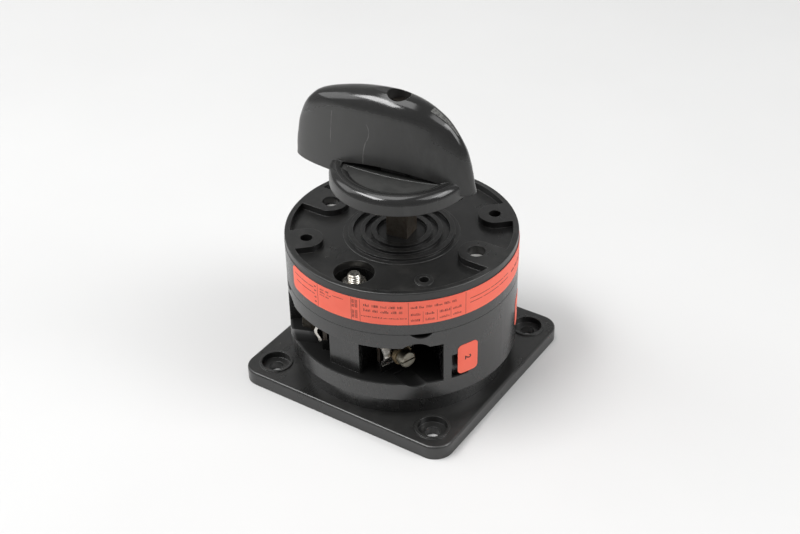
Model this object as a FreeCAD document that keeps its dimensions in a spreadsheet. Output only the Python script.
import FreeCAD, Part
import math
import os
import re

import Sketcher
from FreeCAD import Placement, Rotation, Vector

# Rotary cam battery switch, base mounted, two poles, off / on.
# Frame: millimetres, origin on the shaft axis at the underside of the mounting
# plate, +Z up the shaft, X and Y along the edges of the plate. Front is -Y,
# left is -X.
# The stack from the bottom: mounting plate, contact housing with two contact
# chambers that open to -Y and +Y, latch housing with the index mechanism,
# cover, and the knob on its square shaft.
# Cutting bodies run a little past the material they cut, by 1 mm as a rule, and
# pieces to be fused overlap by 0.2 to 0.5 mm.

os.makedirs("parts", exist_ok=True)
doc = FreeCAD.newDocument("battery_switch")
doc.UndoMode = 0

# ---------------------------------------------------------------- driving sizes
# alias, value, what it is
SIZES = [
    # mounting plate
    ("plate_side", 87.0, "side of the square mounting plate"),
    ("plate_thick", 5.4, "thickness of the mounting plate"),
    ("plate_corner", 7.0, "corner radius of the plate"),
    ("plate_edge", 0.9, "rounding of the plate's top edge"),
    ("base_pitch", 68.0, "hole to hole distance of the base pattern"),
    ("collar_rad", 6.2, "outer radius of the collar round a base hole"),
    ("collar_rise", 0.5, "height of the collar over the plate"),
    ("recess_rad", 5.3, "radius of the screw head recess"),
    ("recess_deep", 2.6, "depth of the screw head recess"),
    ("base_hole_rad", 2.65, "radius of a base hole"),
    ("boss_rad", 7.0, "radius of the lower bearing boss"),
    ("boss_top", 8.0, "top of the lower bearing boss"),
    ("spigot_rad", 37.4, "outer radius of the locating ring on the plate"),
    ("spigot_in", 36.3, "inner radius of the locating ring"),
    ("spigot_top", 7.4, "top of the locating ring"),
    # housings
    ("body_rad", 41.5, "outer radius of both housings"),
    ("skirt_in", 37.6, "inner radius of the contact housing below its floor"),
    ("foot_rad", 39.0, "outer radius of the housing's foot, set back under the wall"),
    ("foot_top", 13.2, "lower edge of the wall, top of the foot"),
    ("floor_low", 16.75, "underside of the contact housing's floor"),
    ("floor_top", 19.75, "floor of the contact chambers, sill of the windows"),
    ("head_z", 35.7, "lintel of the windows"),
    ("deck_low", 37.0, "underside of the latch housing's pads and hub"),
    ("deck_mid", 38.5, "underside of the latch housing's floor"),
    ("deck_lip", 0.2, "height of the latch housing's floor over the seam"),
    ("deck_hub", 12.0, "radius of the hub under the latch housing's floor"),
    ("deck_pad", 6.0, "radius of the tie bolt pads under that floor"),
    ("seam_z", 41.5, "seam between contact housing and latch housing"),
    ("ring_in", 37.2, "inner radius of the ring above the windows"),
    ("deck_rad", 37.0, "radius of the latch housing's spigot floor"),
    ("window_half", 33.25, "half width of a window"),
    ("chamber_half", 20.0, "half width of a chamber next to the cam"),
    ("chamber_near", 12.4, "distance of a chamber's inner wall from the axis"),
    ("chamber_bend", 25.4, "distance at which a chamber reaches window width"),
    ("cam_room", 13.4, "radius of the cam's well"),
    ("pillar_half", 6.2, "half width of a tie bolt pillar"),
    ("pillar_face", 37.4, "outer face of a pillar from the axis"),
    ("pillar_back", 26.0, "inner face of a pillar from the axis"),
    ("guide_in", 4.66, "plunger guide wall, inner side"),
    ("guide_out", 6.3, "plunger guide wall, outer side"),
    ("guide_near", 12.6, "plunger guide wall, end near the cam"),
    ("guide_far", 16.7, "plunger guide wall, end near the bridge"),
    ("guide_top", 31.6, "top of the plunger guide walls"),
    ("bearing_rad", 8.56, "radius of the cam bearings in floor and deck"),
    ("hook_rad", 1.5, "radius of the outer leaf spring posts"),
    ("hook_x", 21.6, "place of an outer spring post, X"),
    ("hook_y", 20.9, "place of an outer spring post, Y"),
    ("heel_rad", 1.2, "radius of the inner leaf spring posts"),
    ("heel_x", 18.1, "place of an inner spring post, X"),
    ("heel_y", 17.6, "place of an inner spring post, Y"),
    # fasteners of the stack
    ("tie_y", 29.6, "distance of a tie bolt from the axis"),
    ("tie_rad", 2.45, "radius of a tie bolt"),
    ("tie_hole", 2.6, "radius of a tie bolt's hole"),
    ("tie_top", 55.4, "top end of a tie bolt"),
    ("tie_chamfer", 0.5, "chamfer of a tie bolt's top end"),
    ("tie_boss", 5.0, "radius of the bosses under the floor"),
    ("boss_gap", 0.02, "gap between those bosses and the plate"),
    ("head_well", 4.9, "radius of the bolt head well under the plate"),
    ("head_deep", 3.6, "depth of the bolt head well"),
    ("head_play", 0.55, "radial gap round a tie bolt's head"),
    ("head_thick", 3.2, "thickness of a tie bolt's head"),
    ("nut_well", 7.1, "radius of the nut well"),
    ("nut_floor", 47.4, "floor of the nut well"),
    ("nut_boss", 8.7, "radius of the nut well's boss"),
    ("nut_flats", 8.0, "size across flats of a tie nut"),
    ("nut_thick", 4.0, "thickness of a tie nut"),
    ("nut_crown", 0.47, "radius of a nut's upper face over its flats"),
    ("washer_thick", 1.0, "thickness of a tie washer"),
    ("washer_rad", 5.0, "radius of a tie washer"),
    ("screw_x", 30.6, "distance of a cover screw from the axis"),
    ("screw_rad", 1.95, "radius of a cover screw"),
    ("screw_hole", 2.1, "radius of a cover screw's clearance hole"),
    ("screw_low", 24.0, "lower end of a cover screw's hole"),
    ("post_rad", 5.5, "radius of the cover screw posts"),
    ("post_top", 48.0, "top of a cover screw post"),
    ("pad_hole", 3.2, "radius of the screw head hole in a cover pad"),
    ("head_seat", 52.2, "seat of a cover screw's head"),
    ("cover_head", 2.9, "height of a cover screw's head"),
    ("cover_slot", 1.7, "floor of a cover screw's slot over the seat"),
    ("cover_slot_half", 0.5, "half width of a cover screw's slot"),
    # cover
    ("latch_in", 38.5, "inner radius of the latch housing"),
    ("rebate_rad", 40.3, "radius of the rebate that takes the cover"),
    ("plug_rad", 40.2, "radius of the cover's plug"),
    ("plug_low", 52.8, "underside of the cover's plug"),
    ("cover_z", 55.4, "seam between latch housing and cover"),
    ("panel_z", 55.8, "sunk floor of the cover"),
    ("rim_z", 58.3, "top of the cover's rim and pads"),
    ("rim_rad", 41.35, "outer radius of the rim"),
    ("rim_in", 39.3, "inner radius of the rim"),
    ("rim_edge", 0.45, "rounding of the rim's top outer edge"),
    ("face_pitch", 48.0, "hole to hole distance of the face pattern"),
    ("face_hole", 2.2, "radius of a face hole"),
    ("face_deep", 51.9, "bottom of a face hole"),
    ("face_floor", 1.4, "material under a face hole"),
    ("face_boss", 4.2, "radius of a face hole's boss under the cover"),
    ("lone_x", 22.7, "place of a lone hole in the cover, X"),
    ("lone_y", 21.1, "place of a lone hole in the cover, Y"),
    ("lone_hole", 1.7, "radius of a lone hole"),
    ("lone_rad", 3.2, "radius of the low ring round a lone hole"),
    ("lone_rise", 0.35, "height of that ring over the sunk floor"),
    ("lone_floor", 0.8, "material under a lone hole"),
    ("cover_bore", 8.46, "radius of the cover's bearing bore"),
    ("rib_rise", 1.15, "height of the concentric ribs over the sunk floor"),
    ("step_rise", 0.22, "height of the low outer step over the sunk floor"),
    # rotor
    ("rest_turn", 6.5, "direction of the knob at rest, degrees from +X"),
    ("shaft_flat", 8.0, "size of the square shaft across its flats"),
    ("bore_flat", 8.06, "size of a square bore"),
    ("shaft_top", 101.0, "top end of the shaft"),
    ("tap_rad", 2.5, "radius of the hole in the shaft's top end"),
    ("tap_deep", 14.0, "depth of that hole"),
    ("journal_rad", 3.0, "radius of the lower journal"),
    ("journal_low", 3.2, "lower end of the lower journal"),
    ("journal_bore", 3.05, "radius of the lower journal's bearing"),
    ("journal_floor", 2.8, "height that bearing's bore is sunk to"),
    ("groove_rad", 3.25, "radius at the bottom of the clip's groove"),
    ("groove_low", 15.3, "lower face of the groove"),
    ("groove_high", 16.3, "upper face of the groove"),
    ("clip_rad", 6.6, "outer radius of the retaining clip"),
    ("clip_in", 3.3, "inner radius of the clip"),
    ("clip_low", 15.4, "lower face of the clip"),
    ("clip_high", 16.2, "upper face of the clip"),
    ("clip_mouth", 2.2, "half width of the clip's mouth"),
    ("thrust_rad", 6.2, "radius of the thrust washer"),
    ("thrust_thick", 0.5, "thickness of the thrust washer"),
    ("hub_rad", 8.5, "radius of the cam hubs"),
    ("star_hub", 8.4, "radius of the star wheel's upper hub"),
    ("cam_shut", 9.2, "cam radius with the contacts shut"),
    ("cam_lift", 2.5, "lift of the cam over a quarter turn"),
    ("nose_rad", 3.0, "radius of a plunger's nose"),
    ("cam_gap", 0.04, "running gap between cam and nose"),
    ("cam_low", 20.1, "lower face of the cam lobes"),
    ("cam_high", 35.2, "upper face of the cam lobes"),
    ("star_rad", 15.0, "radius of the star wheel"),
    ("notch_rad", 12.2, "radius at the bottom of a notch"),
    ("notch_half", 26.0, "half angle of a notch at the wheel's rim"),
    ("star_low", 43.7, "lower face of the star wheel"),
    ("star_high", 50.2, "upper face of the star wheel"),
    ("stop_low", 42.0, "lower face of the stop disc"),
    ("stop_thick", 1.6, "thickness of the stop disc"),
    ("stop_rad", 13.0, "radius of the stop disc"),
    ("ear_rad", 18.5, "radius of the stop disc's ears"),
    ("ear_half", 12.0, "half angle of an ear"),
    ("stop_gap", 0.6, "angle left between ear and lug at the end of travel"),
    # contacts
    ("strip_thick", 1.5, "thickness of a fixed contact"),
    ("strip_low", 24.2, "lower edge of the contacts"),
    ("strip_high", 31.2, "upper edge of the contacts"),
    ("tip_thick", 0.9, "thickness of a silver tip"),
    ("fixed_tip_rad", 2.5, "radius of a fixed silver tip"),
    ("bridge_tip_rad", 2.3, "radius of a silver tip on a bridge"),
    ("tip_x", 9.4, "distance of the tips from the middle plane"),
    ("bridge_half", 12.2, "half length of a bridge"),
    ("bridge_thick", 1.6, "thickness of a bridge"),
    ("bridge_in", 19.4, "inner face of a bridge at rest, contacts open"),
    ("fixed_face", 15.98, "face of a fixed tip from the axis"),
    ("strip_end", 6.9, "inner end of a fixed contact"),
    ("plunger_half", 4.6, "half width of a plunger"),
    ("stem_rad", 1.8, "radius of a plunger's stem"),
    ("stem_end", 24.2, "end of a plunger's stem from the axis at rest"),
    ("spring_rad", 3.6, "mean radius of a contact spring"),
    ("wire_rad", 0.42, "wire radius of a contact spring"),
    # terminals
    ("term_x", 22.3, "middle of a terminal screw's end face, X"),
    ("term_y", 30.4, "middle of a terminal screw's end face, Y"),
    ("term_z", 27.7, "height of the terminal screws"),
    ("term_turn", 20.0, "angle of a terminal screw to the X axis"),
    ("term_head", 3.05, "radius of a terminal screw's head"),
    ("term_head_len", 3.4, "length of the head"),
    ("term_shank", 2.2, "radius of the shank"),
    ("term_collar", 3.65, "radius of the washer behind the head"),
    ("clamp_wide", 12.4, "width of a clamp plate"),
    ("clamp_tall", 8.4, "height of a clamp plate"),
    ("clamp_thick", 1.1, "thickness of a clamp plate"),
    ("slot_rad", 5.4, "end radius of the access slots in the wall"),
    ("slot_low", 18.6, "lower end of an access slot"),
    ("slot_high", 37.5, "upper end of an access slot"),
    # knob
    ("knob_low", 77.8, "lower edge of the knob's skirt"),
    ("skirt_rad", 24.7, "outer radius of the skirt"),
    ("wing_low", 79.2, "lower edge of the wing"),
    ("wing_top", 110.95, "crown of the wing"),
    ("wing_half", 8.9, "half width of the wing at its foot"),
    ("knob_hub", 7.2, "radius of the knob's hub"),
    ("well_rad", 4.0, "radius of the screw well in the knob"),
    ("well_floor", 104.6, "floor of the screw well"),
    ("knob_head", 2.6, "height of the knob screw's head"),
    ("knob_slot", 1.3, "floor of the knob screw's slot over the well's floor"),
    ("knob_slot_half", 0.55, "half width of the knob screw's slot"),
    # labels
    ("label_thick", 0.12, "thickness of the labels"),
    ("label_low", 45.8, "lower edge of the rating label"),
    ("label_high", 55.2, "upper edge of the rating label"),
    ("tag_low", 20.7, "lower edge of a number tag"),
    ("tag_high", 32.9, "upper edge of a number tag"),
]
sheet = doc.addObject("Spreadsheet::Sheet", "Sizes")
sheet.set("A1", "what it is")
sheet.set("B1", "value")
for row, (alias, value, note) in enumerate(SIZES, 2):
    sheet.set("A%d" % row, note)
    sheet.set("B%d" % row, "%g" % value)
    sheet.setAlias("B%d" % row, alias)
doc.recompute()
ALIASES = {entry[0] for entry in SIZES}
MID_HEIGHT = "(strip_low + strip_high) / 2"  # middle height of the contacts

probe = doc.addObject("App::FeaturePython", "Probe")
probe.addProperty("App::PropertyFloat", "Value")


def size(alias):
    """A driving size, read from the sheet."""
    return float(sheet.get(alias))


def expr(text):
    """An expression: every alias in it is looked up in the sheet."""
    return re.sub(
        r"[a-z_][a-z_0-9]*",
        lambda m: "Sizes." + m.group(0) if m.group(0) in ALIASES else m.group(0),
        str(text),
    )


def number(text):
    """The value of an expression."""
    probe.setExpression("Value", expr(text))
    probe.recompute()
    return float(probe.Value)


# ------------------------------------------------------------ Part primitives
def put(obj, x=0, y=0, z=0):
    for axis, text in (("x", x), ("y", y), ("z", z)):
        obj.setExpression("Placement.Base." + axis, expr(text))
    return obj


def cyl(name, radius, low, high, x=0, y=0):
    """A vertical cylinder between two heights."""
    made = doc.addObject("Part::Cylinder", name)
    made.setExpression("Radius", expr(radius))
    made.setExpression("Height", expr("(%s) - (%s)" % (high, low)))
    return put(made, x, y, low)


def cyl_y(name, radius, x, near, far):
    """A cylinder along -Y at contact height, between two distances from the axis."""
    made = doc.addObject("Part::Cylinder", name)
    made.setExpression("Radius", expr(radius))
    made.setExpression("Height", expr("(%s) - (%s)" % (far, near)))
    made.Placement = Placement(Vector(), Rotation(Vector(1, 0, 0), 90))
    return put(made, x, "-(%s)" % near, MID_HEIGHT)


def box(name, x0, x1, y0, y1, z0, z1):
    made = doc.addObject("Part::Box", name)
    made.setExpression("Length", expr("(%s) - (%s)" % (x1, x0)))
    made.setExpression("Width", expr("(%s) - (%s)" % (y1, y0)))
    made.setExpression("Height", expr("(%s) - (%s)" % (z1, z0)))
    return put(made, x0, y0, z0)


def square(name, side, low, high):
    """A square prism on the axis, turned to the rest direction."""
    made = doc.addObject("Part::Box", name)
    made.setExpression("Length", expr(side))
    made.setExpression("Width", expr(side))
    made.setExpression("Height", expr("(%s) - (%s)" % (high, low)))
    made.Placement = Placement(Vector(), Rotation(Vector(0, 0, 1), 0))
    made.setExpression("Placement.Rotation.Angle", expr("rest_turn * 1 deg"))
    cosine, sine = "cos(rest_turn * 1 deg)", "sin(rest_turn * 1 deg)"
    return put(
        made,
        "-(%s) / 2 * (%s - %s)" % (side, cosine, sine),
        "-(%s) / 2 * (%s + %s)" % (side, sine, cosine),
        low,
    )


def fuse(name, *objs):
    made = doc.addObject("Part::MultiFuse", name)
    made.Shapes = list(objs)
    return made


def cut(name, base, *tools):
    tool = tools[0] if len(tools) == 1 else fuse(name + "_tools", *tools)
    made = doc.addObject("Part::Cut", name)
    made.Base = base
    made.Tool = tool
    return made


def common(name, *objs):
    made = doc.addObject("Part::MultiCommon", name)
    made.Shapes = list(objs)
    return made


def group(name, *objs):
    made = doc.addObject("Part::Compound", name)
    made.Links = list(objs)
    return made


def feature(name, shape, place=None):
    """A shape that needs Part's own functions."""
    made = doc.addObject("Part::Feature", name)
    made.Shape = shape
    made.Placement = (place if place is not None else Placement()).multiply(shape.Placement)
    return made


def mirror(name, source, normal):
    made = doc.addObject("Part::Mirroring", name)
    made.Source = source
    made.Base = Vector(0, 0, 0)
    made.Normal = Vector(*normal)
    return made


def to_rear(source, name):
    return mirror(name, source, (0, 1, 0))


def to_left(source, name):
    return mirror(name, source, (1, 0, 0))


def with_rear(source, name=None):
    """The piece and its mirror image at the rear."""
    return [source, to_rear(source, name or source.Name + "Rear")]


def with_left(source):
    """The piece and its mirror image at the left."""
    return [source, to_left(source, source.Name + "Left")]


def with_opposite(source, suffix="Far"):
    """The piece and its copy diagonally across the axis."""
    side = to_left(source, source.Name + "Side")
    return [source, to_rear(side, source.Name + suffix)]


def four(name, source):
    """The piece in all four quadrants."""
    across = to_left(source, name + "_x")
    back = to_rear(source, name + "_y")
    both = to_rear(across, name + "_xy")
    return [source, across, back, both]


# ---------------------------------------------------------- PartDesign helpers
def new_body(name):
    return doc.addObject("PartDesign::Body", name)


def origin(part, role):
    return [item for item in part.Origin.OriginFeatures if item.Role == role][0]


def sketch(part, name, offset=0, role="XY_Plane"):
    made = part.newObject("Sketcher::SketchObject", name)
    made.AttachmentSupport = [(origin(part, role), "")]
    made.MapMode = "FlatFace"
    made.setExpression("AttachmentOffset.Base.z", expr(offset))
    return made


def pin_point(drawing, geo, pos, x, y):
    """Holds a point of the sketch at two expressions."""
    for kind, text in (("DistanceX", x), ("DistanceY", y)):
        index = drawing.addConstraint(
            Sketcher.Constraint(kind, -1, 1, geo, pos, number(text))
        )
        drawing.setExpression("Constraints[%d]" % index, expr(text))


def poly(drawing, points):
    """A closed outline of straight lines with every corner held."""
    corners = [Vector(number(x), number(y), 0) for x, y in points]
    ends = corners[1:] + corners[:1]
    lines = [
        drawing.addGeometry(Part.LineSegment(start, end), False)
        for start, end in zip(corners, ends)
    ]
    for line, following in zip(lines, lines[1:] + lines[:1]):
        drawing.addConstraint(Sketcher.Constraint("Coincident", line, 2, following, 1))
    for line, (x, y) in zip(lines, points):
        pin_point(drawing, line, 1, x, y)


def ring(drawing, x, y, radius):
    circle = Part.Circle(Vector(number(x), number(y), 0), Vector(0, 0, 1), number(radius))
    geo = drawing.addGeometry(circle, False)
    pin_point(drawing, geo, 3, x, y)
    index = drawing.addConstraint(Sketcher.Constraint("Radius", geo, number(radius)))
    drawing.setExpression("Constraints[%d]" % index, expr(radius))


def ring_sketch(part, name, x, y, radius, offset=0):
    """A level sketch with one circle."""
    made = sketch(part, name, offset)
    ring(made, x, y, radius)
    return made


def pad(part, profile, name, length):
    made = part.newObject("PartDesign::Pad", name)
    made.Profile = profile
    made.setExpression("Length", expr(length))
    doc.recompute()
    return made


def must_remove(feat, before):
    """Stops the build if a cut has removed nothing."""
    doc.recompute()
    if not feat.Shape.Volume < before - 1e-6:
        raise SystemExit("%s cuts nothing" % feat.Name)


def pocket(part, profile, name, length, reverse=False):
    """Cuts against the sketch's normal; reversed, it cuts along it."""
    before = part.Shape.Volume
    made = part.newObject("PartDesign::Pocket", name)
    made.Profile = profile
    made.Type = 0
    made.setExpression("Length", expr(length))
    made.Reversed = reverse
    must_remove(made, before)
    return made


def around(part, name, feats, count=4):
    """Repeats features round the shaft axis."""
    made = part.newObject("PartDesign::PolarPattern", name)
    made.Originals = list(feats)
    made.Axis = (origin(part, "Z_Axis"), [""])
    made.Angle = 360
    made.Occurrences = count
    part.Tip = made
    doc.recompute()
    return made


def cut_around(part, name, feats, count=4):
    before = part.Shape.Volume
    must_remove(around(part, name, feats, count), before)


def edges_above(shape, z, min_width=-1.0):
    """Numbers of the edges wholly at or above a height and wider in X than a width."""
    return [
        i
        for i, edge in enumerate(shape.Edges, 1)
        if edge.BoundBox.ZMin > z - 1e-6 and edge.BoundBox.XLength > min_width
    ]


# --------------------------------------------------------------- shape helpers
def outward(shape):
    """Turns a solid whose skin faces inwards."""
    if shape.Volume < 0:
        shape.reverse()
    return shape


def prism(outline, low, high):
    """A vertical prism over a plan outline."""
    wire = Part.makePolygon([Vector(x, y, low) for x, y in outline + outline[:1]])
    return outward(Part.Face(wire).extrude(Vector(0, 0, high - low)))


def thick_line(points, half):
    """Plan outline of a strip that follows a line, with mitred bends."""
    left, right = [], []
    for i, point in enumerate(points):
        runs = []
        if i:
            runs.append((Vector(*point, 0) - Vector(*points[i - 1], 0)).normalize())
        if i < len(points) - 1:
            runs.append((Vector(*points[i + 1], 0) - Vector(*point, 0)).normalize())
        normals = [Vector(-run.y, run.x, 0) for run in runs]
        mitre = normals[0] if len(normals) == 1 else (normals[0] + normals[1]).normalize()
        reach = half / mitre.dot(normals[0])
        left.append((point[0] + mitre.x * reach, point[1] + mitre.y * reach))
        right.append((point[0] - mitre.x * reach, point[1] - mitre.y * reach))
    return left + right[::-1]


def shell_patch(start, end, low, high, inner, outer, corner=0.0):
    """A patch of a tube between two azimuths, its corners rounded."""
    patch = Part.makeCylinder(
        outer, high - low, Vector(0, 0, low), Vector(0, 0, 1), end - start
    ).cut(Part.makeCylinder(inner, high - low, Vector(0, 0, low)))
    patch.rotate(Vector(), Vector(0, 0, 1), start)
    if not corner:
        return patch
    corner_turn = math.degrees(corner / outer)
    for azimuth, way in ((start, 1), (end, -1)):
        for z, up in ((low, 1), (high, -1)):
            block_y = -corner - 1 if way > 0 else 0
            block_z = -corner - 1 if up > 0 else 0
            nip = Part.makeBox(
                6, corner + 1, corner + 1, Vector(inner - 3, block_y, block_z)
            ).cut(Part.makeCylinder(corner, 8, Vector(inner - 4, 0, 0), Vector(1, 0, 0)))
            nip.rotate(Vector(), Vector(0, 0, 1), azimuth + way * corner_turn)
            nip.translate(Vector(0, 0, z + up * corner))
            patch = patch.cut(nip)
    return patch


def rod_x(radius, start, length):
    """A cylinder along X from a given X."""
    return Part.makeCylinder(radius, length, Vector(start, 0, 0), Vector(1, 0, 0))


nodes = {}


def node(name, obj, solids=1):
    """Labels a finished piece and lists it for export."""
    obj.Label = name
    nodes[name] = (obj, solids)


# ------------------------------------------------------------- mounting plate
plate = new_body("MountingPlate")
plate_outline = sketch(plate, "PlateOutline")
half_side = "plate_side / 2"
poly(
    plate_outline,
    [
        ("-" + half_side, "-" + half_side),
        (half_side, "-" + half_side),
        (half_side, half_side),
        ("-" + half_side, half_side),
    ],
)
slab = pad(plate, plate_outline, "PlateSlab", "plate_thick")
upright_edges = [
    "Edge%d" % i
    for i, edge in enumerate(slab.Shape.Edges, 1)
    if abs(edge.tangentAt(edge.FirstParameter).z) > 0.99
]
corners = plate.newObject("PartDesign::Fillet", "PlateCorners")
corners.Base = (slab, upright_edges)
corners.setExpression("Radius", expr("plate_corner"))
doc.recompute()
soft_edge = plate.newObject("PartDesign::Fillet", "PlateEdge")
soft_edge.Base = (
    corners,
    ["Edge%d" % i for i in edges_above(corners.Shape, size("plate_thick"))],
)
soft_edge.setExpression("Radius", expr("plate_edge"))
doc.recompute()

BASE_HOLE_AT = ("base_pitch / 2", "base_pitch / 2")
profile = ring_sketch(plate, "Collar", *BASE_HOLE_AT, "collar_rad")
collar = pad(plate, profile, "CollarPad", "plate_thick + collar_rise")
around(plate, "Collars", [collar])
profile = ring_sketch(plate, "SpigotRing", "0", "0", "spigot_rad", "plate_thick - 0.5")
ring(profile, "0", "0", "spigot_in")
pad(plate, profile, "Spigot", "spigot_top - plate_thick + 0.5")
profile = ring_sketch(plate, "BearingBoss", "0", "0", "boss_rad")
pad(plate, profile, "Bearing", "boss_top")

profile = ring_sketch(
    plate, "Recess", *BASE_HOLE_AT, "recess_rad", "plate_thick + collar_rise + 0.01"
)
recess = pocket(plate, profile, "RecessCut", "recess_deep")
profile = ring_sketch(plate, "BaseHole", *BASE_HOLE_AT, "base_hole_rad", "plate_thick + 1")
base_hole = pocket(plate, profile, "BaseHoleCut", "plate_thick + 2")
cut_around(plate, "BaseHoles", [recess, base_hole])

profile = ring_sketch(plate, "HeadWell", "0", "tie_y", "head_well")
head_well = pocket(plate, profile, "HeadWellCut", "head_deep", True)
profile = ring_sketch(plate, "TieHole", "0", "tie_y", "tie_hole", "-1")
tie_hole = pocket(plate, profile, "TieHoleCut", "plate_thick + 4", True)
cut_around(plate, "TieHoles", [head_well, tie_hole], 2)

profile = ring_sketch(plate, "JournalBore", "0", "0", "journal_bore", "boss_top + 0.01")
pocket(plate, profile, "JournalBoreCut", "boss_top - journal_floor")
node("mounting_plate", plate)

# ------------------------------------------------------------ contact housing
# The right front terminal has a frame of its own: its origin is the middle of
# the screw's end face, its X runs along the screw, outwards.
TERM_FRAME = Placement(
    Vector(size("term_x"), -size("term_y"), size("term_z")),
    Rotation(Vector(0, 0, 1), -size("term_turn")),
)
CHAMBER_REACH = 60.0  # the chamber cuts run this far out, past the wall
STRIP_BACK = -9.35  # middle of a contact strip behind its clamp, along the screw
STRIP_BEND_X = 14.3  # bend of a contact strip towards its terminal
SEAT_HALF = 1.2  # half thickness of the ledge under a contact strip
SEAT_GAP = 0.03  # gap between that ledge and the strip


def plan_from_terminal(x, y):
    """Plan place of a point given in the terminal's frame."""
    point = TERM_FRAME.multVec(Vector(x, y, 0))
    return (point.x, point.y)


def chamber_prism(top):
    """The front chamber's room from its floor up: narrow at the cam, wide outside."""
    narrow, wide = size("chamber_half"), size("window_half")
    near, bend = size("chamber_near"), size("chamber_bend")
    plan = [
        (-narrow, -near),
        (-wide, -bend),
        (-wide, -CHAMBER_REACH),
        (wide, -CHAMBER_REACH),
        (wide, -bend),
        (narrow, -near),
    ]
    return prism(plan, size("floor_top"), size(top))


strip_y = -(size("fixed_face") - size("tip_thick") - size("strip_thick") / 2)
strip_line = [
    plan_from_terminal(STRIP_BACK, -size("clamp_wide") / 2),
    plan_from_terminal(STRIP_BACK, size("clamp_wide") / 2),
    (STRIP_BEND_X, strip_y),
    (size("strip_end"), strip_y),
]

housing_hollow = cut(
    "HousingHollow",
    cyl("HousingBlank", "body_rad", "plate_thick", "seam_z"),
    cyl("SkirtRoom", "skirt_in", "plate_thick - 1", "floor_low"),
    cyl("RingRoom", "ring_in", "deck_low", "seam_z + 1"),
    cut(
        "FootSetback",
        cyl("FootOut", "body_rad + 1", "plate_thick - 1", "foot_top"),
        cyl("FootIn", "foot_rad", "plate_thick - 2", "foot_top + 1"),
    ),
)
window = feature("WindowCut", chamber_prism("head_z"))
chamber = common(
    "ChamberCut",
    feature("ChamberPlan", chamber_prism("seam_z")),
    cyl("ChamberLimit", "ring_in", "floor_top", "seam_z"),
)
housing_rooms = cut(
    "HousingRooms",
    housing_hollow,
    *with_rear(window),
    *with_rear(chamber),
    cyl("CamWell", "cam_room", "floor_top", "seam_z"),
    cyl("FloorBore", "bearing_rad", "floor_low - 1", "floor_top + 1"),
)

pillar = box(
    "Pillar", "-pillar_half", "pillar_half", "-pillar_face", "-pillar_back",
    "floor_top - 0.5", "deck_low",
)
guide = box(
    "Guide", "guide_in", "guide_out", "-guide_far", "-guide_near",
    "floor_top - 0.5", "guide_top",
)
seat = feature(
    "ContactSeat",
    prism(
        thick_line(strip_line, SEAT_HALF),
        size("floor_top") - 0.5,
        size("strip_low") - SEAT_GAP,
    ),
)
BOSS_SPAN = ("plate_thick + boss_gap", "floor_low + 0.5")
tie_boss = cyl("TieBoss", "tie_boss", *BOSS_SPAN, 0, "-tie_y")
side_boss = cyl("SideBoss", "tie_boss", *BOSS_SPAN, "screw_x")
housing_walls = fuse(
    "HousingWalls",
    housing_rooms,
    *with_rear(pillar),
    *four("Guides", guide),
    *four("Seats", seat),
    *with_rear(tie_boss),
    *with_left(side_boss),
)

# Access slots: long holes through the wall along each terminal screw.
SLOT_START = -5.2  # inner end, in the terminal's frame
SLOT_LENGTH = 26.0
slot_rad = size("slot_rad")
slot_z0 = size("slot_low") + slot_rad - size("term_z")
slot_z1 = size("slot_high") - slot_rad - size("term_z")


def slot_end(z):
    return Part.makeCylinder(slot_rad, SLOT_LENGTH, Vector(SLOT_START, 0, z), Vector(1, 0, 0))


slot_shape = slot_end(slot_z0).fuse(slot_end(slot_z1)).fuse(
    Part.makeBox(
        SLOT_LENGTH, 2 * slot_rad, slot_z1 - slot_z0, Vector(SLOT_START, -slot_rad, slot_z0)
    )
)
slot = feature("AccessSlot", slot_shape.removeSplitter(), TERM_FRAME)

# Crescent notches under the seam, cut by a level cylinder that points outwards.
CRESCENT_AZIMUTH = math.radians(-48)
CRESCENT_RAD, CRESCENT_DEEP, CRESCENT_Z = 4.8, 3.2, 44.3
crescent_way = Vector(math.cos(CRESCENT_AZIMUTH), math.sin(CRESCENT_AZIMUTH), 0)
crescent_start = crescent_way * (size("body_rad") - CRESCENT_DEEP) + Vector(0, 0, CRESCENT_Z)
crescent = feature(
    "SeamNotch", Part.makeCylinder(CRESCENT_RAD, 8, crescent_start, crescent_way)
)

# Shallow slots in the wall beside the windows.
TAG_SLOT = dict(start=-33.2, end=-24.0, low=19.8, high=29.8)
TAG_SLOT_DEEP = 2.2
tag_slot = feature(
    "TagSlot",
    shell_patch(
        **TAG_SLOT, inner=size("body_rad") - TAG_SLOT_DEEP, outer=size("body_rad") + 1
    ),
)
tie_bore = cyl("HousingTieHole", "tie_hole", "plate_thick - 1", "seam_z", 0, "-tie_y")
side_bore = cyl("HousingScrewHole", "screw_rad + 0.04", "screw_low", "seam_z + 1", "screw_x")
housing = cut(
    "ContactHousing",
    housing_walls,
    *four("AccessSlots", slot),
    *four("SeamNotches", crescent),
    *four("TagSlots", tag_slot),
    *with_rear(tie_bore),
    *with_left(side_bore),
)
node("contact_housing", housing)

# -------------------------------------------------------------- latch housing
# Stop lugs: the travel's ends lie at 45 and -45 degrees.
LUG_ANGLE = 12.0
LUG_IN, LUG_OUT = 15.4, 20.4
LUG_RISE = 0.3  # height over the stop disc
lug_near = size("ear_half") + size("stop_gap")
lug_far = lug_near + LUG_ANGLE


def lug(name, start, end):
    """A lug that stops an ear of the stop disc at one end of the quarter turn."""
    top = size("stop_low") + size("stop_thick") + LUG_RISE
    return feature(name, shell_patch(start, end, size("seam_z"), top, LUG_IN, LUG_OUT))


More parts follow.
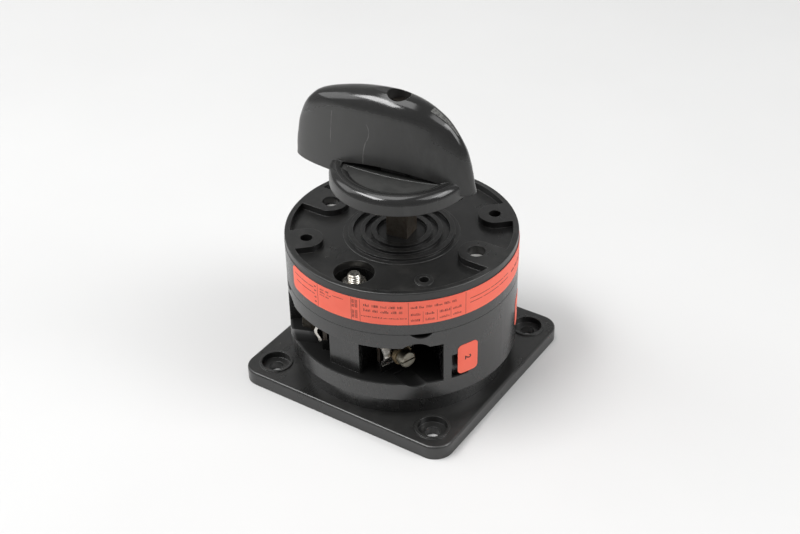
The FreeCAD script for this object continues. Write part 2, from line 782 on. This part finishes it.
tube = cut(
    "LatchTube",
    cyl("LatchBlank", "body_rad", "seam_z", "cover_z"),
    cyl("LatchRoom", "latch_in", "seam_z - 1", "cover_z + 1"),
    cyl("LatchRebate", "rebate_rad", "plug_low - 0.05", "cover_z + 1"),
)
tie_pad = cyl("DeckTiePad", "deck_pad", "deck_low", "deck_mid + 0.5", 0, "-tie_y")
nut_boss = common(
    "NutBossClip",
    cyl("NutBoss", "nut_boss", "seam_z", "plug_low - 0.1", 0, "-tie_y"),
    cyl("NutBossLimit", "latch_in + 0.5", "seam_z", "plug_low"),
)
screw_post = cyl("ScrewPost", "post_rad", "seam_z", "post_top - 0.02", "screw_x")
# Posts that hold the ends of the leaf springs.
hook = cyl("SpringPost", "hook_rad", "seam_z", "star_high", "hook_x", "hook_y")
heel = cyl("SpringHeel", "heel_rad", "seam_z", "star_high", "heel_x", "heel_y")
latch_walls = fuse(
    "LatchWalls",
    tube,
    cyl("Deck", "deck_rad", "deck_mid", "seam_z + deck_lip"),
    cyl("DeckEdge", "latch_in + 0.5", "seam_z", "seam_z + deck_lip"),
    cyl("DeckHub", "deck_hub", "deck_low", "deck_mid + 0.5"),
    *with_rear(tie_pad),
    *with_rear(nut_boss, "NutBossRear"),
    *with_left(screw_post),
    *with_opposite(lug("StopLugOff", 45 + lug_near, 45 + lug_far)),
    *with_opposite(lug("StopLugOn", -45 - lug_far, -45 - lug_near)),
    *four("SpringPosts", hook),
    *four("SpringHeels", heel),
)
nut_room = cyl("NutWell", "nut_well", "nut_floor", "cover_z + 1", 0, "-tie_y")
deck_tie = cyl("DeckTieHole", "tie_hole", "deck_low - 1", "nut_floor + 1", 0, "-tie_y")
deck_screw = cyl("DeckScrewHole", "screw_hole", "deck_low - 1", "post_top + 1", "screw_x")
latch = cut(
    "LatchHousing",
    latch_walls,
    cyl("DeckBore", "bearing_rad", "deck_low - 1", "seam_z + 1"),
    *with_rear(nut_room),
    *with_rear(deck_tie),
    *with_left(deck_screw),
)
node("latch_housing", latch)

# ---------------------------------------------------------------------- cover
# name, inner radius, outer radius, rise over the sunk floor
RIBS = [
    ("RibOuter", 17.2, 18.95, "rib_rise"),
    ("RibMiddle", 12.95, 14.6, "rib_rise"),
    ("RibInner", 8.9, 10.85, "rib_rise"),
    ("RibStep", 18.5, 20.7, "step_rise"),
]
face_distance = size("face_pitch") / 2 * math.sqrt(2)
# name, distance of the hole from the axis, half width, azimuth
PADS = [
    ("PadRight", size("screw_x"), 6.4, 0),
    ("PadLeft", size("screw_x"), 6.4, 180),
    ("PadFar", face_distance, 5.9, 45),
    ("PadNear", face_distance, 5.9, 225),
]


def rib(name, inner, outer, rise):
    return cut(
        name,
        cyl(name + "Out", outer, "panel_z - 0.2", "panel_z + " + rise),
        cyl(name + "In", inner, "panel_z - 1", "rim_z"),
    )


def tongue(name, distance, half, turn):
    """A pad from a hole out to the rim, round at its inner end."""
    low = size("panel_z") - 0.2
    tall = size("rim_z") - low
    shape = Part.makeCylinder(half, tall, Vector(distance, 0, low)).fuse(
        Part.makeBox(12, 2 * half, tall, Vector(distance, -half, low))
    )
    shape = shape.common(Part.makeCylinder(size("rim_in") + 0.3, tall, Vector(0, 0, low)))
    shape.rotate(Vector(), Vector(0, 0, 1), turn)
    return feature(name, shape.removeSplitter())


plug = cyl("CoverPlug", "plug_rad", "plug_low", "cover_z")
flange = cyl("CoverFlange", "rim_rad", "cover_z", "rim_z")
doc.recompute()
soft_flange = doc.addObject("Part::Fillet", "CoverFlangeSoft")
soft_flange.Base = flange
rim_edge = size("rim_edge")
soft_flange.Edges = [
    (i, rim_edge, rim_edge) for i in edges_above(flange.Shape, size("rim_z"), 1)
]
dish = cut("CoverDish", soft_flange, cyl("CoverSunk", "rim_in", "panel_z", "rim_z + 1"))

FACE_AT = ("face_pitch / 2", "face_pitch / 2")
LONE_AT = ("lone_x", "-lone_y")
lone_ring = cyl("LoneRing", "lone_rad", "panel_z - 0.2", "panel_z + lone_rise", *LONE_AT)
face_boss = cyl(
    "FaceBoss", "face_boss", "face_deep - face_floor", "plug_low + 0.5", *FACE_AT
)
screw_boss = cyl("ScrewBoss", "post_rad", "post_top", "plug_low + 0.5", "screw_x")
cover_walls = fuse(
    "CoverWalls",
    plug,
    dish,
    *[rib(*entry) for entry in RIBS],
    *[tongue(*entry) for entry in PADS],
    *with_opposite(lone_ring),
    *with_opposite(face_boss, "Near"),
    *with_left(screw_boss),
)
face_hole = cyl("FaceHole", "face_hole", "face_deep", "rim_z + 1", *FACE_AT)
lone_hole = cyl("LoneHole", "lone_hole", "plug_low + lone_floor", "rim_z", *LONE_AT)
head_hole = cyl("HeadHole", "pad_hole", "head_seat", "rim_z + 1", "screw_x")
shank_hole = cyl("ShankHole", "screw_hole", "post_top - 1", "head_seat + 1", "screw_x")
nut_hole = cyl("NutHole", "nut_well", "plug_low - 1", "rim_z", 0, "-tie_y")
cover = cut(
    "Cover",
    cover_walls,
    *with_opposite(face_hole, "Near"),
    *with_opposite(lone_hole),
    *with_left(head_hole),
    *with_left(shank_hole),
    *with_rear(nut_hole),
    cyl("CoverBore", "cover_bore", "plug_low - 1", "rim_z"),
)
node("cover", cover)

# ------------------------------------------------ shaft, its clip and washer
shaft = cut(
    "Shaft",
    fuse(
        "ShaftBlank",
        square("ShaftSquare", "shaft_flat", "boss_top + thrust_thick + 0.05", "shaft_top"),
        cyl("ShaftJournal", "journal_rad", "journal_low", "boss_top + 1"),
    ),
    cut(
        "ClipGroove",
        cyl("ClipGrooveOut", "shaft_flat", "groove_low", "groove_high"),
        cyl("ClipGrooveIn", "groove_rad", "groove_low - 1", "groove_high + 1"),
    ),
    cyl("ShaftTap", "tap_rad", "shaft_top - tap_deep", "shaft_top + 1"),
)
node("shaft", shaft)
CLIP_CUT = ("clip_low - 1", "clip_high + 1")
clip = cut(
    "RetainingClip",
    cyl("ClipOut", "clip_rad", "clip_low", "clip_high"),
    cyl("ClipIn", "clip_in", *CLIP_CUT),
    box("ClipMouth", 0, "clip_rad + 1", "-clip_mouth", "clip_mouth", *CLIP_CUT),
)
node("retaining_clip", clip)
thrust_washer = cut(
    "ThrustWasher",
    cyl("ThrustOut", "thrust_rad", "boss_top", "boss_top + thrust_thick"),
    cyl("ThrustIn", "journal_rad + 0.1", "boss_top - 1", "boss_top + 1"),
)
node("thrust_washer", thrust_washer)

# ------------------------------------------------------------------------ cam
# The centre of a plunger's nose sits on a curve whose distance from the axis
# changes linearly with the angle over a quarter turn, so the plunger moves in
# proportion to the knob. The curve repeats after half a turn, so one cam works
# both plungers. The flank of the cam is that curve, set back by the nose.
DRIVE_OVER = 6.0  # degrees the linear part runs on past each end of the travel
DRIVE_END = 90.0 + DRIVE_OVER
BLEND = 180.0 - DRIVE_OVER - DRIVE_END  # angle of the way back up
shut_radius = size("cam_shut") + size("nose_rad")


def drive_radius(angle):
    """The linear part: 0 degrees is the open end, 90 the shut end."""
    return shut_radius + size("cam_lift") * (1 - angle / 90.0)


def pitch_radius(azimuth):
    """Distance of the nose's centre; a cubic joins the ends of the linear part."""
    angle = (azimuth + 90.0) % 180.0
    if angle <= DRIVE_END:
        return drive_radius(angle)
    if angle >= DRIVE_END + BLEND:
        return drive_radius(angle - 180)
    part = (angle - DRIVE_END) / BLEND
    slope = -size("cam_lift") / 90.0 * BLEND
    return (
        (2 * part**3 - 3 * part**2 + 1) * drive_radius(DRIVE_END)
        + (part**3 - 2 * part**2 + part) * slope
        + (-2 * part**3 + 3 * part**2) * drive_radius(-DRIVE_OVER)
        + (part**3 - part**2) * slope
    )


def pitch_point(azimuth):
    angle, radius = math.radians(azimuth), pitch_radius(azimuth)
    return Vector(radius * math.cos(angle), radius * math.sin(angle), 0)


def cam_point(azimuth):
    step = 0.01
    along = pitch_point(azimuth + step) - pitch_point(azimuth - step)
    along.normalize()
    back = size("nose_rad") + size("cam_gap")
    return pitch_point(azimuth) - Vector(along.y, -along.x, 0) * back


flank = Part.BSplineCurve()
flank.interpolate(Points=[cam_point(x) for x in range(0, 360, 3)], PeriodicFlag=True)
lobes = outward(
    Part.Face(Part.Wire(flank.toShape())).extrude(
        Vector(0, 0, size("cam_high") - size("cam_low"))
    )
)
lobes.translate(Vector(0, 0, size("cam_low")))
cam = cut(
    "SwitchingCam",
    fuse(
        "CamBlank",
        feature("CamLobes", lobes),
        cyl("CamHubs", "hub_rad", "floor_low - 0.2", "seam_z - 0.6"),
    ),
    square("CamBore", "bore_flat", "floor_low - 1", "seam_z"),
)
node("switching_cam", cam)

# ---------------------------------------------------------------- index wheel
star = new_body("StarWheel")
profile = ring_sketch(star, "StarOutline", "0", "0", "star_rad", "star_low")
pad(star, profile, "StarSlab", "star_high - star_low")
profile = ring_sketch(star, "StarHub", "0", "0", "star_hub", "star_low")
pad(star, profile, "StarHubPad", "panel_z + 0.12 - star_low")
profile = sketch(star, "StarNotch", "star_high + 0.01")
mouth_x = "star_rad * cos(notch_half * 1 deg) + 2"
mouth_y = "(star_rad * sin(notch_half * 1 deg))"
poly(profile, [("notch_rad", "0"), (mouth_x, "-" + mouth_y), (mouth_x, mouth_y)])
star_notch = pocket(star, profile, "StarNotchCut", "star_high - star_low + 0.02")
cut_around(star, "StarNotches", [star_notch])
profile = sketch(star, "StarBore", "panel_z + 1")
bore_turns = ["(rest_turn + %d) * 1 deg" % turn for turn in (45, 135, 225, 315)]
poly(
    profile,
    [
        ("bore_flat / sqrt(2) * cos(%s)" % turn, "bore_flat / sqrt(2) * sin(%s)" % turn)
        for turn in bore_turns
    ],
)
pocket(star, profile, "StarBoreCut", "30")
node("star_wheel", star)

# ------------------------------------------------------------------ stop disc
ear_half, stop_low = size("ear_half"), size("stop_low")
stop_plan = Part.makeCylinder(size("stop_rad"), size("stop_thick"), Vector(0, 0, stop_low))
for middle in (45, 225):
    ear = shell_patch(
        middle - ear_half, middle + ear_half,
        stop_low, stop_low + size("stop_thick"),
        10, size("ear_rad"),
    )
    stop_plan = stop_plan.fuse(ear)
stop_disc = cut(
    "StopDisc",
    feature("StopPlan", stop_plan.removeSplitter()),
    square("StopBore", "bore_flat", "stop_low - 1", "stop_low + 3"),
)
node("stop_disc", stop_disc)

# ---------------------------------------------------------------- leaf springs
# A strip with a V nose that drops into a notch; x and y of its middle line.
LEAF_HALF = 0.3  # half thickness
LEAF_INSET = 0.4  # how far its edges stay inside the star wheel's faces
LEAF_LINE = [
    (19.0, -22.2), (20.1, -19.1), (18.0, -9.0), (16.7, -3.3), (13.1, -0.35),
    (13.1, 0.35), (16.7, 3.3), (18.0, 9.0), (20.1, 19.1), (19.0, 22.2),
]
leaf_shape = prism(
    thick_line(LEAF_LINE, LEAF_HALF),
    size("star_low") + LEAF_INSET,
    size("star_high") - LEAF_INSET,
)
leaf = feature("LeafSpring", leaf_shape)
node("detent_springs", group("DetentSprings", *with_left(leaf)), 2)

# ------------------------------------------------- plungers, bridges, springs
OPEN_NOSE = "cam_shut + nose_rad + cam_lift"  # nose centre, contacts open
CONTACT_SPAN = ("strip_low", "strip_high")
plunger = fuse(
    "FrontPlunger",
    cyl("PlungerNose", "nose_rad", *CONTACT_SPAN, 0, "-(%s)" % OPEN_NOSE),
    box(
        "PlungerBlock", "-plunger_half", "plunger_half",
        "-bridge_in", "-(%s) - 0.6" % OPEN_NOSE, *CONTACT_SPAN,
    ),
    box(
        "PlungerNeck", "-nose_rad", "nose_rad",
        "-(%s) - 1.4" % OPEN_NOSE, "-(%s)" % OPEN_NOSE, *CONTACT_SPAN,
    ),
    cyl_y("PlungerStem", "stem_rad", 0, "bridge_in - 0.5", "stem_end"),
)
node("front_plunger", plunger)
node("rear_plunger", to_rear(plunger, "RearPlunger"))

bridge = new_body("FrontBridge")
profile = sketch(bridge, "BridgeOutline", "strip_low")
poly(
    profile,
    [
        ("-bridge_half", "-bridge_in - bridge_thick"),
        ("bridge_half", "-bridge_in - bridge_thick"),
        ("bridge_half", "-bridge_in"),
        ("-bridge_half", "-bridge_in"),
    ],
)
pad(bridge, profile, "BridgeBar", "strip_high - strip_low")
# On the XZ plane the sketch's second direction is +Z and its normal is -Y.
profile = sketch(bridge, "BridgeHole", "bridge_in - 1", "XZ_Plane")
ring(profile, "0", MID_HEIGHT, "stem_rad + 0.1")
pocket(bridge, profile, "BridgeHoleCut", "bridge_thick + 2", True)
node("front_bridge", bridge)
node("rear_bridge", to_rear(bridge, "RearBridge"))

bridge_tip = cyl_y("BridgeTip", "bridge_tip_rad", "tip_x", "bridge_in - tip_thick", "bridge_in")
bridge_tips = group("FrontBridgeTips", *with_left(bridge_tip))
node("front_bridge_tips", bridge_tips, 2)
node("rear_bridge_tips", to_rear(bridge_tips, "RearBridgeTips"), 2)

# The coil fills the room between bridge and pillar.
COIL_TURNS = 3.75
COIL_GAP = 0.05  # gap at each end
wire_rad, spring_rad = size("wire_rad"), size("spring_rad")
coil_near = size("bridge_in") + size("bridge_thick")
coil_run = size("pillar_back") - coil_near - 2 * wire_rad - 2 * COIL_GAP
lead = coil_run / COIL_TURNS
helix = Part.makeLongHelix(lead, coil_run, spring_rad)
wire_way = Vector(0, 2 * math.pi * spring_rad, lead)
wire_ring = Part.Wire(Part.makeCircle(wire_rad, Vector(spring_rad, 0, 0), wire_way))
coil = Part.Wire(helix).makePipeShell([wire_ring], True, True)
coil.rotate(Vector(), Vector(1, 0, 0), 90)
coil_z = (size("strip_low") + size("strip_high")) / 2
coil.translate(Vector(0, -(coil_near + wire_rad + COIL_GAP), coil_z))
node("front_contact_spring", feature("FrontContactSpring", coil))
# The same spring turned half round, since both are wound the same way.
half_turn = Placement(Vector(), Rotation(Vector(0, 0, 1), 180))
node("rear_contact_spring", feature("RearContactSpring", coil, half_turn))

# ------------------------------------------------------------- fixed contacts
strip_shape = prism(
    thick_line(strip_line, size("strip_thick") / 2), size("strip_low"), size("strip_high")
)
strip = feature("FixedContactStrip", strip_shape)
tapped = feature("FixedContactTap", rod_x(size("term_shank") + 0.05, -13, 8), TERM_FRAME)
contact = cut("FixedContact", strip, tapped)
left_contact = to_left(contact, "FixedContactLeft")
node("fixed_contact_2", contact)
node("fixed_contact_1", left_contact)
node("fixed_contact_4", to_rear(contact, "FixedContactRear"))
node("fixed_contact_3", to_rear(left_contact, "FixedContactRearLeft"))
fixed_tip = cyl_y("FixedTip", "fixed_tip_rad", "tip_x", "fixed_face - tip_thick", "fixed_face")
node("fixed_contact_tips", group("FixedTips", *four("FixedTipSet", fixed_tip)), 4)

# ------------------------------------------------------------------ terminals
# In the terminal's frame the screw runs inwards from X = 0 to -TERM_LENGTH.
TERM_LENGTH = 12.6
TERM_EDGE = 0.55  # rounding of the head
TERM_SLOT_DEEP, TERM_SLOT_WIDE = 1.0, 0.7
TERM_WASHER_IN, TERM_WASHER_THICK = -5.02, 1.6  # inner face and thickness
CLAMP_MIDDLE = -6.75  # middle of a clamp plate
WAVE_HEIGHT, WAVE_LENGTH, WAVE_STEPS = 0.75, 7.6, 12  # its corrugation
head_len, shank_rad = size("term_head_len"), size("term_shank")


def term_set(node_name, name, shape):
    """Sets a terminal piece in all four quadrants."""
    piece = feature(name, shape, TERM_FRAME)
    node(node_name, group(name + "s", *four(name + "Set", piece)), 4)


head = rod_x(size("term_head"), -head_len, head_len)
outer_edges = [
    edge for edge in head.Edges if edge.BoundBox.XMin > -1e-6 and edge.BoundBox.YLength > 1
]
head = head.makeFillet(TERM_EDGE, outer_edges)
head = head.cut(
    Part.makeBox(
        TERM_SLOT_DEEP + 0.2, 8, TERM_SLOT_WIDE, Vector(-TERM_SLOT_DEEP, -4, -TERM_SLOT_WIDE / 2)
    )
)
shank = rod_x(shank_rad, -TERM_LENGTH, TERM_LENGTH - head_len + 0.5)
term_set("terminal_screws", "TerminalScrew", head.fuse(shank))

washer_shape = rod_x(size("term_collar"), TERM_WASHER_IN, TERM_WASHER_THICK).cut(
    rod_x(shank_rad + 0.08, -6, 3)
)
term_set("terminal_washers", "TerminalWasher", washer_shape)


def wave(side):
    """One face of a clamp plate in side view: its edge and the edge's points."""
    tall, half_thick = size("clamp_tall"), size("clamp_thick") / 2
    points = []
    for i in range(WAVE_STEPS + 1):
        z = -tall / 2 + tall * i / WAVE_STEPS
        swing = WAVE_HEIGHT * math.cos(2 * math.pi * z / WAVE_LENGTH)
        points.append(Vector(CLAMP_MIDDLE + swing + side * half_thick, 0, z))
    spline = Part.BSplineCurve()
    spline.interpolate(Points=points)
    return spline.toShape(), points


outer_wave, outer_points = wave(1)
inner_wave, inner_points = wave(-1)
clamp_outline = Part.Wire(
    [
        outer_wave,
        Part.makeLine(outer_points[-1], inner_points[-1]),
        inner_wave,
        Part.makeLine(inner_points[0], outer_points[0]),
    ]
)
clamp_shape = Part.Face(clamp_outline).extrude(Vector(0, size("clamp_wide"), 0))
clamp_shape.translate(Vector(0, -size("clamp_wide") / 2, 0))
clamp_shape = clamp_shape.cut(rod_x(shank_rad + 0.15, -9, 6))
term_set("terminal_clamps", "TerminalClamp", clamp_shape)

# ------------------------------------------------------ fasteners of the stack
bolt_blank = fuse(
    "TieBolt",
    cyl("TieHead", "head_well - head_play", "head_deep - head_thick", "head_deep", 0, "-tie_y"),
    cyl("TieShank", "tie_rad", "head_deep - 1", "tie_top", 0, "-tie_y"),
)
doc.recompute()
bolt = doc.addObject("Part::Chamfer", "TieBoltEnd")
bolt.Base = bolt_blank
tie_chamfer = size("tie_chamfer")
bolt.Edges = [
    (i, tie_chamfer, tie_chamfer) for i in edges_above(bolt_blank.Shape, size("tie_top"), 1)
]
node("tie_bolts", group("TieBolts", *with_rear(bolt, "TieBoltRear")), 2)

NUT_LOW = "nut_floor + washer_thick"
nut_body = new_body("TieNut")
profile = sketch(nut_body, "NutOutline", NUT_LOW)
poly(
    profile,
    [
        (
            "nut_flats / sqrt(3) * cos(%d deg)" % turn,
            "-tie_y + nut_flats / sqrt(3) * sin(%d deg)" % turn,
        )
        for turn in range(15, 360, 60)
    ],
)
pad(nut_body, profile, "NutSlab", "nut_thick")
profile = ring_sketch(
    nut_body, "NutBore", "0", "-tie_y", "tie_rad + 0.03", NUT_LOW + " + nut_thick + 1"
)
pocket(nut_body, profile, "NutBoreCut", "nut_thick + 2")
# The corners are turned off at 30 degrees on the upper face.
crown = doc.addObject("Part::Cone", "TieNutCrown")
crown.setExpression("Radius1", expr("nut_flats * nut_crown + nut_thick * sqrt(3)"))
crown.setExpression("Radius2", expr("nut_flats * nut_crown"))
crown.setExpression("Height", expr("nut_thick"))
put(crown, 0, "-tie_y", NUT_LOW)
nut = common("TieNutTurned", nut_body, crown)
node("tie_nuts", group("TieNuts", *with_rear(nut, "TieNutRear")), 2)

tie_washer = cut(
    "TieWasher",
    cyl("TieWasherOut", "washer_rad", "nut_floor", NUT_LOW, 0, "-tie_y"),
    cyl("TieWasherIn", "tie_hole", "nut_floor - 1", "nut_floor + 3", 0, "-tie_y"),
)
node("tie_washers", group("TieWashers", *with_rear(tie_washer)), 2)

cover_screw = cut(
    "CoverScrew",
    fuse(
        "CoverScrewBlank",
        cyl(
            "CoverScrewHead", "pad_hole - 0.15", "head_seat", "head_seat + cover_head",
            "screw_x",
        ),
        cyl("CoverScrewShank", "screw_rad", "screw_low + 1", "head_seat + 0.5", "screw_x"),
    ),
    box(
        "CoverScrewSlot", "screw_x - 4", "screw_x + 4", "-cover_slot_half",
        "cover_slot_half", "head_seat + cover_slot", "head_seat + 4",
    ),
)
node("cover_screws", group("CoverScrews", *with_left(cover_screw)), 2)

# ----------------------------------------------------------------------- knob
# Built along +X, then turned to the rest direction. The wing is lofted through
# level sections, each two half ellipses that share their widest line.
# Reach of the wing from the axis towards -X: height, distance.
LONG_REACH = [
    (79.2, 40.7), (84.5, 40.3), (90.1, 39.5), (95.7, 38.0), (100.1, 36.1), (103.2, 33.6),
    (106.0, 30.0), (107.6, 25.7), (109.2, 19.2), (110.3, 12.8), (110.8, 6.9),
]
# Reach of the wing from the axis towards +X: height, distance.
SHORT_REACH = [
    (79.2, 28.3), (84.5, 27.2), (89.1, 26.4), (94.0, 24.9), (97.7, 22.9), (101.1, 20.6),
    (103.7, 18.1), (106.6, 14.0), (108.6, 9.8), (109.7, 6.4), (110.5, 2.2), (110.8, -0.4),
]
# Heights of the wing's sections; the hollow inside uses the lowest ones.
LEVELS = [
    79.2, 83.0, 87.0, 91.0, 95.0, 98.5, 101.5, 103.8, 105.6, 107.1, 108.3, 109.2, 109.9,
    110.4, 110.75,
]
CORE_LEVELS = LEVELS[:6]
CORE_WALL = 3.0  # wall round the hollow
CORE_RISE = 2.0  # the hollow takes its section from this much higher up
CROWN_RAD = 7.7  # radius of the wing's crown across, half width where it starts
WIDEST_X = -3.6  # place of the widest line
SECTION_POINTS = 40


def reach_at(table, z):
    for (z0, reach0), (z1, reach1) in zip(table, table[1:]):
        if z <= z1:
            return reach0 + (reach1 - reach0) * (z - z0) / (z1 - z0)
    return table[-1][1]


def half_width(z):
    """Half width of the wing: a tapering flank below a round crown."""
    foot, low = size("wing_half"), size("wing_low")
    crown_z = size("wing_top") - CROWN_RAD
    if z <= crown_z:
        return foot - (foot - CROWN_RAD) * ((z - low) / (crown_z - low)) ** 1.4
    return math.sqrt(max(0.0, CROWN_RAD**2 - (z - crown_z) ** 2))


def section(z, shrink=0.0, rise=0.0):
    """Outline of the wing at z + rise, drawn in by shrink and laid at z."""
    left = -(reach_at(LONG_REACH, z + rise) - shrink)
    right = reach_at(SHORT_REACH, z + rise) - shrink * 1.5
    half = half_width(z + rise) - shrink * 0.9
    points = []
    for i in range(SECTION_POINTS):
        angle = 2 * math.pi * i / SECTION_POINTS
        reach = (right - WIDEST_X) if math.cos(angle) >= 0 else (WIDEST_X - left)
        points.append(
            Vector(WIDEST_X + reach * math.cos(angle), half * math.sin(angle), z)
        )
    outline = Part.BSplineCurve()
    outline.interpolate(Points=points, PeriodicFlag=True)
    return Part.Wire(outline.toShape())


def arc_xz(*points):
    """An arc in the XZ plane through three points."""
    return Part.Arc(*[Vector(x, 0, z) for x, z in points]).toShape()


def knob_skirt():
    """The round skirt with its dished top."""
    low, radius = size("knob_low"), size("skirt_rad")
    shoulder = arc_xz((radius, 80.9), (23.73, 83.23), (21.4, 84.2))
    lip = arc_xz((21.4, 84.2), (19.9, 83.9), (18.4, 83.1))
    # x, z: dish to the axis, down, underside outwards, inner wall, lower edge, outer wall
    rest = [
        (18.4, 83.1), (0, 82.7), (0, 80.3), (22.2, 80.3), (22.2, low), (radius, low),
        (radius, 80.9),
    ]
    corners = [Vector(x, 0, z) for x, z in rest]
    lines = [Part.makeLine(start, end) for start, end in zip(corners, corners[1:])]
    profile = Part.Wire([shoulder, lip] + lines)
    return outward(Part.Face(profile).revolve(Vector(), Vector(0, 0, 1), 360))


def flank_gap(side):
    """The lens-shaped gap between the wing's foot and the dish, on one flank."""
    upper = arc_xz((-20.5, 83.25), (-2, 85.9), (18.5, 83.25))
    lower = arc_xz((18.5, 83.25), (-2, 83.05), (-20.5, 83.25))
    lens = Part.Face(Part.Wire([upper, lower])).extrude(Vector(0, side * 6.2, 0))
    lens.translate(Vector(0, side * 5.6, 0))
    return lens


def pointer_insert():
    """A long triangle at the narrow end, flush with the crown."""
    plan = prism([(12.3, 1.5), (12.3, -1.5), (21.6, -0.3), (21.6, 0.3)], 90, 112)
    inner = wing.copy()
    inner.translate(Vector(-0.9, 0, -1.1))
    return max(wing.common(plan).cut(inner).Solids, key=lambda solid: solid.Volume)


knob_low, knob_hub = size("knob_low"), size("knob_hub")
wing = Part.makeLoft([section(z) for z in LEVELS], True, False)
core = Part.makeLoft([section(z, CORE_WALL, CORE_RISE) for z in CORE_LEVELS], True, False)
hub = Part.makeCylinder(knob_hub, 103.0 - knob_low, Vector(0, 0, knob_low))
hub_limit = wing.fuse(Part.makeCylinder(knob_hub, 4, Vector(0, 0, knob_low)))
web = Part.makeBox(66, 2.2, 16, Vector(-38, -1.1, 82.5)).common(wing)
knob = wing.cut(core).fuse(knob_skirt()).fuse(hub.common(hub_limit)).fuse(web)
for side in (-1, 1):
    knob = knob.cut(flank_gap(side))
insert = pointer_insert()
knob = knob.cut(insert)
# The screw's well and hole, then the square bore.
knob = knob.cut(Part.makeCylinder(size("well_rad"), 20, Vector(0, 0, size("well_floor"))))
knob = knob.cut(Part.makeCylinder(2.6, 30, Vector(0, 0, 90)))
bore = size("bore_flat")
bore_tall = size("shaft_top") + 0.06 - knob_low + 1
knob = knob.cut(
    Part.makeBox(bore, bore, bore_tall, Vector(-bore / 2, -bore / 2, knob_low - 1))
)
knob = max(knob.Solids, key=lambda solid: solid.Volume)
rest_place = Placement(Vector(), Rotation(Vector(0, 0, 1), size("rest_turn")))
node("knob", feature("Knob", knob, rest_place))
node("pointer_inlay", feature("PointerInlay", insert, rest_place))

knob_screw = cut(
    "KnobScrew",
    fuse(
        "KnobScrewBlank",
        cyl("KnobScrewHead", "well_rad - 0.3", "well_floor", "well_floor + knob_head"),
        cyl("KnobScrewShank", "tap_rad - 0.05", "shaft_top - 12.5", "well_floor + 0.5"),
    ),
    box(
        "KnobScrewSlot", "-5", "5", "-knob_slot_half", "knob_slot_half",
        "well_floor + knob_slot", "well_floor + 4",
    ),
)
node("knob_screw", knob_screw)

# --------------------------------------------------------------------- labels
def label_patch(start, end, low, high, corner):
    """A label on the housings' wall between two azimuths and two heights."""
    wall = size("body_rad")
    return shell_patch(
        start, end, size(low), size(high), wall, wall + size("label_thick"), corner
    )


rating_label = feature("RatingLabel", label_patch(-121, 60, "label_low", "label_high", 2.0))
node("rating_label", rating_label)
tag = feature("TerminalTag", label_patch(-30.0, -18.6, "tag_low", "tag_high", 1.8))
node("terminal_tags", group("TerminalTags", *four("TerminalTagSet", tag)), 4)

# --------------------------------------------------------- checks, then export
doc.recompute()
failed = [obj.Name for obj in doc.Objects if "Invalid" in obj.State or "Error" in obj.State]
if failed:
    raise SystemExit("failed objects: " + ", ".join(failed))
for name, (obj, count) in nodes.items():
    shape = obj.Shape
    if shape.isNull() or not shape.isValid():
        raise SystemExit(name + " has no valid shape")
    if len(shape.Solids) != count:
        raise SystemExit("%s has %d solids, not %d" % (name, len(shape.Solids), count))
for name, (obj, count) in nodes.items():
    obj.Shape.exportStep("parts/%s.step" % name)
